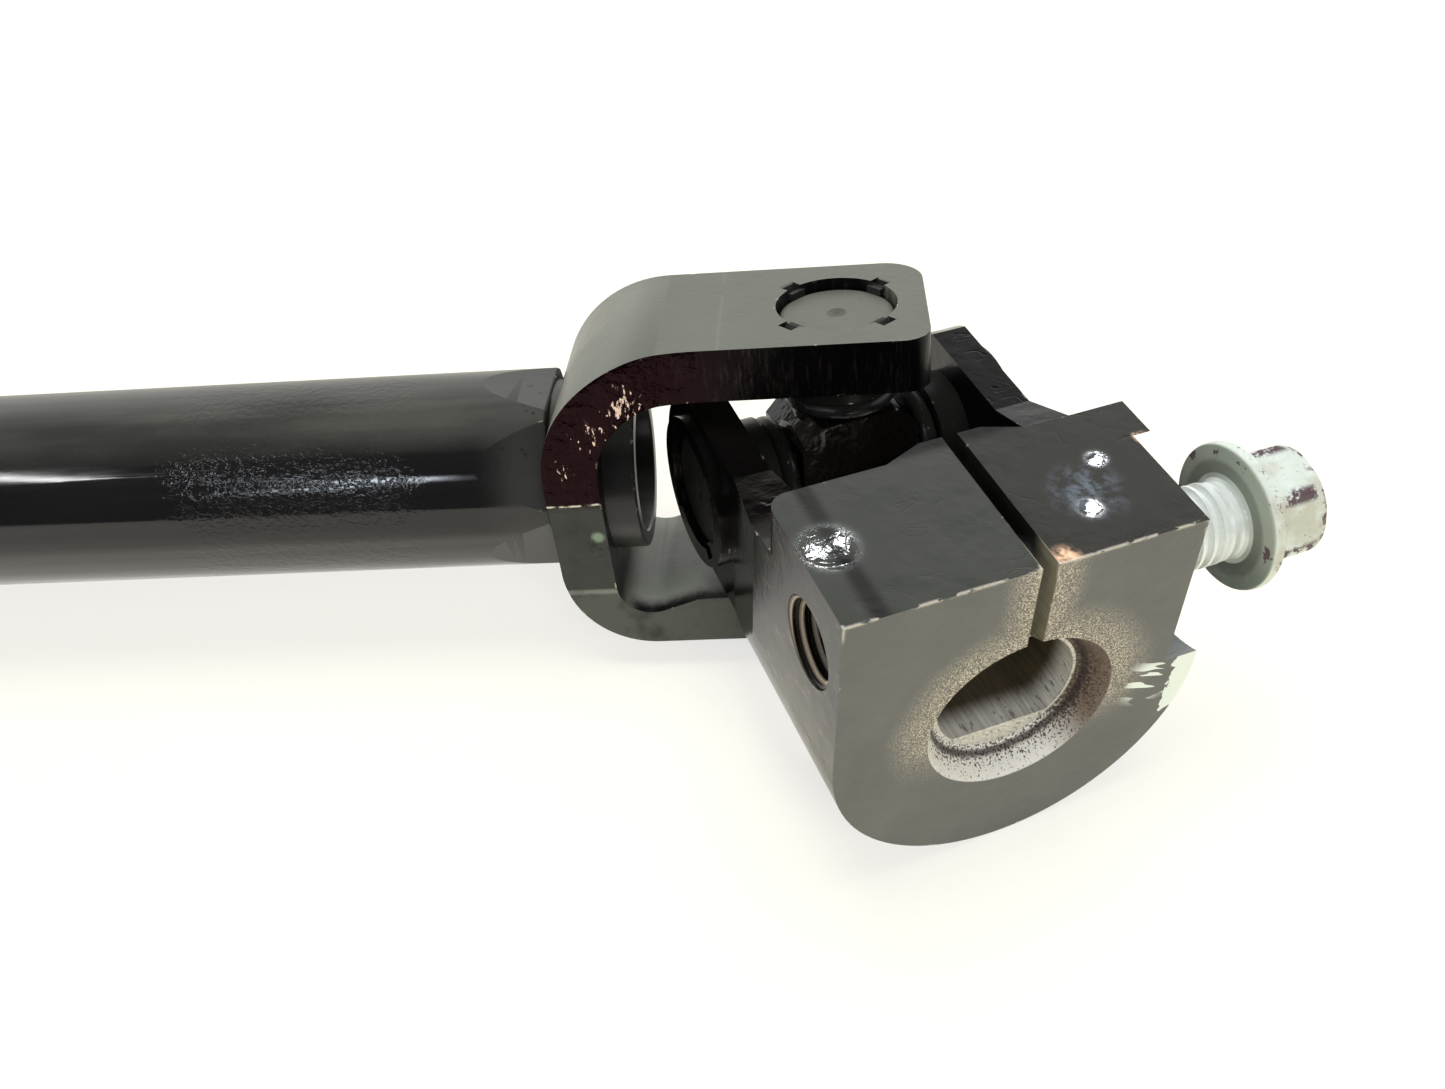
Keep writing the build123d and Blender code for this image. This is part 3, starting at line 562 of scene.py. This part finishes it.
def zinc(name, frame_matrix):
    """Pale zinc plate, powdery on its flats, with dark purple-brown patches where it came off."""
    s = Shader(name)
    p = s.place(frame_matrix @ BOLT)
    x, y, z = s.split(p)
    radius = s.length(0.0, y, z)
    cloud = s.noise(p, 3.0, 5.0, 0.65)
    fine = s.noise(p, 0.5, 5.0, 0.7)
    head = s.ramp(x, 0.25, 0.7)
    under = s.product(s.ramp(radius, BOLT_RADIUS + 0.5, BOLT_RADIUS + 0.7), s.ramp(x, 0.5, 0.3))
    thread = s.ramp(x, -0.35, -0.6)

    # Head, underside of the flange with painted shade, lighter towards its top and darkest near the shank,
    # and thread
    plate = s.mix(cloud, (0.42, 0.48, 0.44), (0.66, 0.71, 0.66))
    warm = s.ramp(s.noise(p, 5.0, 3.0), 0.45, 0.62)
    color = s.mix(s.product(warm, head, 0.7), plate, (0.40, 0.39, 0.32))
    underside_shade = s.mix(cloud, (0.10, 0.13, 0.115), (0.20, 0.24, 0.21))
    color = s.mix(under, color, s.mix(s.ramp(z, -5.0, 4.0), underside_shade, (0.34, 0.38, 0.32)))
    inner = s.product(under, s.ramp(radius, 7.6, 6.8))
    color = s.mix(s.product(inner, 0.45), color, (0.05, 0.055, 0.045))
    color = s.mix(thread, color, s.mix(fine, (0.58, 0.64, 0.62), (0.82, 0.86, 0.84)))

    # Worn patches on the corners, the crown, the flange's rim and its underside
    corner = s.product(s.ramp(radius, 6.85, 7.2), s.ramp(x, 3.4, 3.8))
    crown = s.product(s.ramp(x, 8.3, 9.2), s.ramp(radius, 4.6, 5.0))
    flange = s.product(s.ramp(radius, 8.75, 9.0), s.ramp(x, 1.0, 1.5))
    worn = s.product(s.most(corner, crown), s.ramp(s.noise(p, 2.1, 5.0, 0.68), 0.47, 0.54))
    worn = s.most(worn, s.product(flange, s.ramp(s.noise(p, 1.0, 5.0, 0.7), 0.53, 0.58)))
    patch = s.product(under, s.ramp(radius, 6.5, 7.8), s.ramp(s.noise(p, 2.4, 4.0, 0.6), 0.60, 0.64))
    color = s.mix(s.most(worn, patch), color, (0.070, 0.045, 0.055))
    pores = s.product(s.specks(p, 0.5, 0.03), head)
    color = s.mix(s.product(pores, 0.7), color, (0.16, 0.14, 0.12))

    rough = s.blend(s.most(head, under), 0.32, s.ramp(fine, 0.3, 0.7, 0.42, 0.60))
    normal = s.bump(fine, 0.05, s.bump(cloud, 0.10))
    metal = s.product(s.blend(head, 0.4, 0.2), s.minus(1.0, s.most(worn, patch)))
    return s.finish(color, rough, metal, normal, 0.5)


def machined_steel():
    """Bare turned and ground steel of the sliding shaft, with a thin film of grease."""
    s = Shader("bare_steel")
    p = s.place()
    rings = s.noise(s.stretched(p, (1, 0.1, 0.1)), 0.3, 4.0, 0.7)
    cloud = s.noise(p, 8, 5.0, 0.6)
    color = s.mix(rings, (0.30, 0.29, 0.27), (0.48, 0.47, 0.44))
    stain = s.ramp(s.noise(p, 5, 6.0, 0.7), 0.55, 0.75)
    color = s.mix(s.product(stain, 0.6), color, (0.15, 0.11, 0.07))
    color = s.mix(worn_edges(s, p, s.edge(0.4), 0.05), color, (0.7, 0.69, 0.66))
    normal = s.bump(rings, 0.02, s.bump(cloud, 0.03))
    return s.finish(color, s.ramp(cloud, 0.3, 0.7, 0.28, 0.42), 0.9, normal)


def ground_steel():
    """Bright bearing needles."""
    s = Shader("bearing_steel")
    p = s.place()
    cloud = s.noise(p, 1.5, 4.0)
    color = s.mix(cloud, (0.40, 0.40, 0.39), (0.56, 0.56, 0.54))
    rough = s.ramp(cloud, 0.3, 0.7, 0.18, 0.3)
    return s.finish(color, rough, 0.95, s.bump(s.noise(p, 0.3, 2.0), 0.01))


def rubber():
    """Oily black rubber, moulded, with a few pale specks of dust."""
    s = Shader("seal_rubber")
    p = s.place()
    cloud = s.noise(p, 2.5, 4.0)
    color = s.mix(cloud, (0.005, 0.005, 0.005), (0.014, 0.0135, 0.0125))
    color = s.mix(s.product(s.specks(p, 0.7, 0.02), 0.5), color, (0.12, 0.11, 0.10))
    rough = s.ramp(cloud, 0.3, 0.7, 0.22, 0.4)
    return s.finish(color, rough, 0.0, s.bump(s.noise(p, 0.9, 3.0), 0.06), 0.4)


def plastic():
    """Off-white moulded plastic with faint flow marks and grease stains."""
    s = Shader("slide_plastic")
    p = s.place()
    flow = s.noise(s.stretched(p, (0.3, 1, 1)), 3, 4.0)
    color = s.mix(flow, (0.60, 0.57, 0.48), (0.70, 0.68, 0.60))
    color = s.mix(s.ramp(s.noise(p, 4, 5.0), 0.58, 0.75), color, (0.34, 0.29, 0.20))
    return s.finish(color, s.ramp(flow, 0.3, 0.7, 0.42, 0.55), 0.0, s.bump(flow, 0.03))


# Bolts, with a cut thread, a washer face and a crowned hexagon

def new_object(name, vertices, faces):
    """A mesh object in the scene, from points in metres."""
    mesh = bpy.data.meshes.new(name)
    mesh.from_pydata(vertices, [], faces)
    o = bpy.data.objects.new(name, mesh)
    collection.objects.link(o)
    return o


def polar_rows(vertices, faces, rows, steps):
    """Skin between rings of points, closed by one face at its end."""
    start = len(vertices)
    for row in rows:
        vertices.extend(row)
    for j in range(len(rows) - 1):
        for i in range(steps):
            a = start + j * steps + i
            b = start + j * steps + (i + 1) % steps
            faces.append((a, b, b + steps, a + steps))
    last = start + (len(rows) - 1) * steps
    faces.append(tuple(last + i for i in range(steps)))


def hexagon(angle):
    """Distance of the head's flats from its axis, at an angle."""
    turn = (angle - math.radians(HEX_TURN)) % (math.pi / 3)
    return HEX_APOTHEM / math.cos(turn - math.pi / 6)


def bolt_ring(x, radius, steps):
    """Points round the bolt's axis. The radius is a number, or a function of the angle."""
    points = []
    for i in range(steps):
        angle = 2 * math.pi * i / steps
        r = radius(angle) if callable(radius) else radius
        points.append((x, r * math.cos(angle), r * math.sin(angle)))
    return points


def bolt_head(steps):
    """Rings of the head, from under its washer face to the dish in its top."""
    rings = []

    def add(x, radius):
        rings.append(bolt_ring(x, radius, steps))

    for x, radius in ((-1.0, 4.6), (-0.45, 4.75), (-0.12, 5.05), (0.0, 5.6)):
        add(x, radius)
    for x, radius in ((0.0, 7.9), (0.12, 8.1), (0.12, 8.75)):
        add(x, radius)
    for share in range(1, 6):
        turn = math.pi * share / 6
        add(1.0 - 0.88 * math.cos(turn), FLANGE_RADIUS - 0.35 + 0.35 * math.sin(turn))
    add(2.0, 8.35)
    add(2.7, lambda a: max(7.3, hexagon(a) + 0.05))
    add(3.4, lambda a: hexagon(a) + 0.12)
    add(3.8, hexagon)
    for share in range(13):
        x = 6.6 + 3.15 * share / 12
        cone = FLANGE_RADIUS - 2.0 + (HEAD_HEIGHT - x - 2.0) * 0.33
        round_off = 0.30 * max(0.0, (x - 9.3) / 0.45) ** 2
        add(x, lambda a: min(hexagon(a) - 0.02 * (share > 0), cone) - round_off)
    for below, radius in ((0.12, 5.55), (0.02, 5.2), (0.02, 4.7), (0.6, 4.1), (0.7, 1.5)):
        add(HEAD_HEIGHT - below, radius)
    return rings


def thread_row(start_turn, depth, steps):
    """One turn of points along the helix, this deep. It fades out at both ends of the thread."""
    crest, first, fade_length = BOLT_RADIUS - 0.02, -0.9, 1.6
    row = []
    for i in range(steps):
        angle = 2 * math.pi * i / steps
        along = (start_turn + i / steps) * THREAD_PITCH
        x = first - min(max(along, 0.0), BOLT_LENGTH + first)
        fade = min(1.0, max(0.0, along / fade_length))
        r = crest - THREAD_DEPTH * depth * fade - 0.3 * (1 - fade)
        r = min(r, crest - 0.8 * max(0.0, -x - BOLT_LENGTH + 1.1))
        row.append((x, r * math.cos(angle), r * math.sin(angle)))
    return row


def add_thread(vertices, faces, steps):
    """Skin of the thread. Each row ends where the row one turn further on begins."""
    profile = ((0.0, 0.0), (0.16, 0.0), (0.34, 0.62), (0.44, 1.0), (0.58, 1.0), (0.70, 0.62), (0.86, 0.0))
    turns = int((BOLT_LENGTH - 1.0) / THREAD_PITCH) + 2
    start = len(vertices)
    count = 0
    for turn in range(-1, turns):
        for part, depth in profile:
            vertices.extend(thread_row(turn + part, depth, steps))
            count += 1
    for j in range(count - 1):
        for i in range(steps):
            a = start + j * steps + i
            if i < steps - 1:
                faces.append((a, a + steps, a + steps + 1, a + 1))
            elif j + len(profile) + 1 < count:
                b = start + (j + len(profile)) * steps
                faces.append((a, a + steps, b + steps, b))


def make_bolt(end, frame_matrix, material):
    """Bolt that stands for the CAD one. In its own frame its head is at positive X."""
    steps = 96
    vertices, faces = [], []
    polar_rows(vertices, faces, bolt_head(steps), steps)
    add_thread(vertices, faces, steps)
    tip = [bolt_ring(-BOLT_LENGTH, radius, steps) for radius in (4.15, 3.0)]
    polar_rows(vertices, faces, tip, steps)

    o = new_object(f"{end}_flange_bolt", [tuple(c / 1000 for c in v) for v in vertices], faces)
    o.data.validate()
    o.data.update()
    o.data.transform(frame_matrix @ BOLT)
    o.data.materials.append(material)
    for polygon in o.data.polygons:
        polygon.use_smooth = True
    split = o.modifiers.new("edges", "EDGE_SPLIT")
    split.split_angle = math.radians(35)
    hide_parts(f"{end}_pinch_bolt")
    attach(o, f"{end}_bolt")


def make_open_thread(end, frame_matrix, material):
    """Ridge of the thread in the outer part of the tapped cheek, past the reach of the bolt's tip."""
    steps, first, last, turns_in = 48, 19, 96, 13.5
    root, crest, half_root, half_crest = 5.2, 4.6, 0.60, 0.12
    profile = ((root, -half_root), (root, half_root), (crest, half_crest), (crest, -half_crest))
    vertices, faces = [], []
    for i in range(first, last + 1):
        angle = 2 * math.pi * i / steps
        along = -(turns_in + i / steps) * THREAD_PITCH
        for radius, off in profile:
            x, z = BOLT_X + radius * math.cos(angle), BOLT_Z + radius * math.sin(angle)
            vertices.append((x / 1000, (along + off) / 1000, z / 1000))
    count = last - first
    for i in range(count):
        for j in range(4):
            a, b = 4 * i + j, 4 * i + (j + 1) % 4
            faces.append((a, b, b + 4, a + 4))
    faces += [(3, 2, 1, 0), tuple(4 * count + j for j in range(4))]
    o = new_object(f"{end}_open_thread", vertices, faces)
    o.data.transform(frame_matrix)
    o.data.materials.append(material)
    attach(o, f"{end}_clamp")


# Studio

def seen_white(tree):
    """1 for the rays that show the backdrop: camera, mirror and glass rays."""
    path = tree.nodes.new("ShaderNodeLightPath")
    result = path.outputs["Is Camera Ray"]
    for name in ("Is Transmission Ray", "Is Glossy Ray"):
        most = tree.nodes.new("ShaderNodeMath")
        most.operation = "MAXIMUM"
        tree.links.new(result, most.inputs[0])
        tree.links.new(path.outputs[name], most.inputs[1])
        result = most.outputs[0]
    return result


def make_world(strength):
    """Soft even light on the part, and a white backdrop."""
    world = bpy.data.worlds.new("studio")
    bpy.context.scene.world = world
    world.use_nodes = True
    tree = world.node_tree
    tree.nodes.clear()
    mix = tree.nodes.new("ShaderNodeMixShader")
    tree.links.new(seen_white(tree), mix.inputs["Fac"])
    for socket, level in ((1, strength), (2, 1.0)):
        background = tree.nodes.new("ShaderNodeBackground")
        background.inputs["Color"].default_value = (1, 1, 1, 1)
        background.inputs["Strength"].default_value = level
        tree.links.new(background.outputs[0], mix.inputs[socket])
    out = tree.nodes.new("ShaderNodeOutputWorld")
    tree.links.new(mix.outputs[0], out.inputs["Surface"])


def lamp(name, place, aim, size, power, color=(1, 1, 1), mirrored=True):
    """One soft rectangular studio lamp."""
    data = bpy.data.lights.new(name, "AREA")
    data.shape = "RECTANGLE"
    data.size, data.size_y = size
    data.energy = power
    data.color = color
    o = bpy.data.objects.new(name, data)
    collection.objects.link(o)
    o.location = place
    o.rotation_euler = (Vector(aim) - Vector(place)).to_track_quat("-Z", "Y").to_euler()
    o.visible_glossy = mirrored


def make_lamps():
    middle = (0.28, 0, 0)
    lamp("over", (0.30, 0.10, 0.85), middle, (0.6, 0.5), 8, (1.0, 0.99, 0.97), mirrored=False)
    lamp("front", (0.50, -0.55, 0.45), (0.30, 0, 0), (0.35, 0.25), 2.2, (1.0, 0.98, 0.94), mirrored=False)
    lamp("back", (0.35, 0.75, 0.35), middle, (0.9, 0.25), 2.2, mirrored=False)
    lamp("strip", (-0.40, -0.45, 0.62), (0.20, 0, 0), (0.20, 0.026), 0.9)
    lamp("window", (-0.02, -0.60, 0.40), (0.25, 0, 0), (0.10, 0.075), 0.5, (0.82, 0.90, 1.0))
    # Small panes that the polished spots on the clamp mirror
    for name, place, size in (
        ("left_pane", (0.3450, 0.3893, 0.4365), (0.0095, 0.0032)),
        ("middle_pane", (0.3575, 0.3943, 0.4315), (0.0065, 0.0032)),
        ("right_pane", (0.4850, 0.4208, 0.3860), (0.0045, 0.0030)),
        ("low_pane", (0.4830, 0.4000, 0.4015), (0.0055, 0.0030)),
    ):
        lamp(name, place, (0.305, -0.038, 0.024), size, 0.012, (0.92, 0.96, 1.0))


def make_floor():
    """Pale table top: white to the eye, with the part's shadow kept as a faint warm tone.

    It lets the white world through, wholly where a swung joint dips below it."""
    half, gap = 4, 0.0003
    corners = [(-half, -half, 0), (half, -half, 0), (half, half, 0), (-half, half, 0)]
    floor = new_object("floor", corners, [(0, 1, 2, 3)])
    floor.location = (0.2, 0, cad_box[0][2] - gap)
    s = Shader("pale_floor")
    p = s.place()
    color = s.mix(s.noise(p, 60, 3.0), (0.94, 0.86, 0.62), (0.94, 0.87, 0.66))
    s.finish(color, 0.9, 0.0, s.bump(s.noise(p, 1.5, 3.0), 0.02), 0.1)
    away = s.add("VectorMath", {0: p}, operation="LENGTH").outputs["Value"]
    below = s.add("AmbientOcclusion", {"Distance": 0.08}, samples=4, inside=True).outputs["AO"]
    share = s.most(s.ramp(away, 450, 1300, 0.68, 1.0), s.ramp(below, 1.0, 0.85))
    mix = s.add("MixShader", {"Fac": s.product(seen_white(s.tree), share)})
    s.set(mix.inputs[1], s.surface.outputs[0])
    s.set(mix.inputs[2], s.add("BsdfTransparent").outputs[0])
    s.set(s.output.inputs["Surface"], mix.outputs[0])
    floor.data.materials.append(s.material)


def make_canopy():
    """Dark cloth over the front of the table, which glossy faces mirror and the camera doesn't see."""
    steps, radius, first, arc = 14, 1.3, -1, 135
    vertices, faces = [], []
    for step in range(steps + 1):
        angle = math.radians(first + arc * step / steps)
        for x in (-1.6, 2.2):
            vertices.append((x, -radius * math.cos(angle), radius * math.sin(angle)))
    for step in range(steps):
        faces.append((2 * step, 2 * step + 1, 2 * step + 3, 2 * step + 2))
    canopy = new_object("canopy", vertices, faces)
    s = Shader("dark_cloth")
    p = s.place()
    color = s.mix(s.noise(p, 200, 3.0), (0.010, 0.010, 0.011), (0.025, 0.024, 0.024))
    s.finish(color, 0.9, 0.0, s.bump(s.noise(p, 5), 0.2), 0.1)
    canopy.data.materials.append(s.material)
    canopy.visible_camera = False
    canopy.visible_diffuse = False
    canopy.visible_shadow = False


bpy.context.scene.view_settings.view_transform = "Standard"
make_camera()
make_world(0.45)
make_floor()
make_canopy()
make_lamps()

# Finishes on the CAD nodes

# Darkest and palest tone of a cup's floor: in the ears of a strap a painted sheen like the ears' own, and
# in the arms of a clamp painted shade
STRAP_CUP_SHEEN = ((0.066, 0.071, 0.058), (0.112, 0.117, 0.098))
CLAMP_CUP_SHADE = ((0.006, 0.006, 0.0055), (0.018, 0.017, 0.015))

finishes = {}
for end, strap, cross, clamp in (("lower", STRAP, CROSS, CLAMP), ("upper", UPPER, UPPER, UPPER)):
    finishes[f"{end}_strap_yoke"] = strap_coat(f"{end}_strap_coat", strap)
    finishes[f"{end}_cross"] = cast_coat(f"{end}_cross_coat", cross)
    finishes[f"{end}_clamp_yoke"] = clamp_coat(f"{end}_clamp_coat", clamp)
    for places, turn, pale in ((("top", "bottom"), 0, STRAP_CUP_SHEEN), (("left", "right"), 90, CLAMP_CUP_SHADE)):
        coat = cup_coat(f"{end}_cup_coat_{turn}", cross @ turned(turn, "X"), pale)
        for place in places:
            finishes[f"{end}_{place}_cup"] = coat
    make_bolt(end, clamp, zinc(f"{end}_zinc_plate", clamp))
    make_open_thread(end, clamp, finishes[f"{end}_clamp_yoke"])
finishes["outer_tube"] = tube_coat()
finishes["inner_shaft"] = machined_steel()

# Finishes of the other nodes, by a word in their names
by_word = {"needles": ground_steel(), "seal": rubber(), "bush": plastic()}
by_word["wiper"] = by_word["seal"]
by_word["pinch_bolt"] = finishes["inner_shaft"]


def finish_of(name):
    if name in finishes:
        return finishes[name]
    return next(finish for word, finish in by_word.items() if word in name)


for name, o in nodes.items():
    o.data.materials.clear()
    o.data.materials.append(finish_of(name))
    if "yoke" in name or "cross" in name or name in ("outer_tube", "inner_shaft", "wiper_cap"):
        weld = o.modifiers.new("weld", "WELD")
        weld.merge_threshold = 0.000002
        bevel = o.modifiers.new("bevel", "BEVEL")
        bevel.width = 0.0007 if "strap" in name else 0.0004
        bevel.segments = 3
        bevel.limit_method = "ANGLE"
        bevel.angle_limit = math.radians(32)
        bevel.harden_normals = True
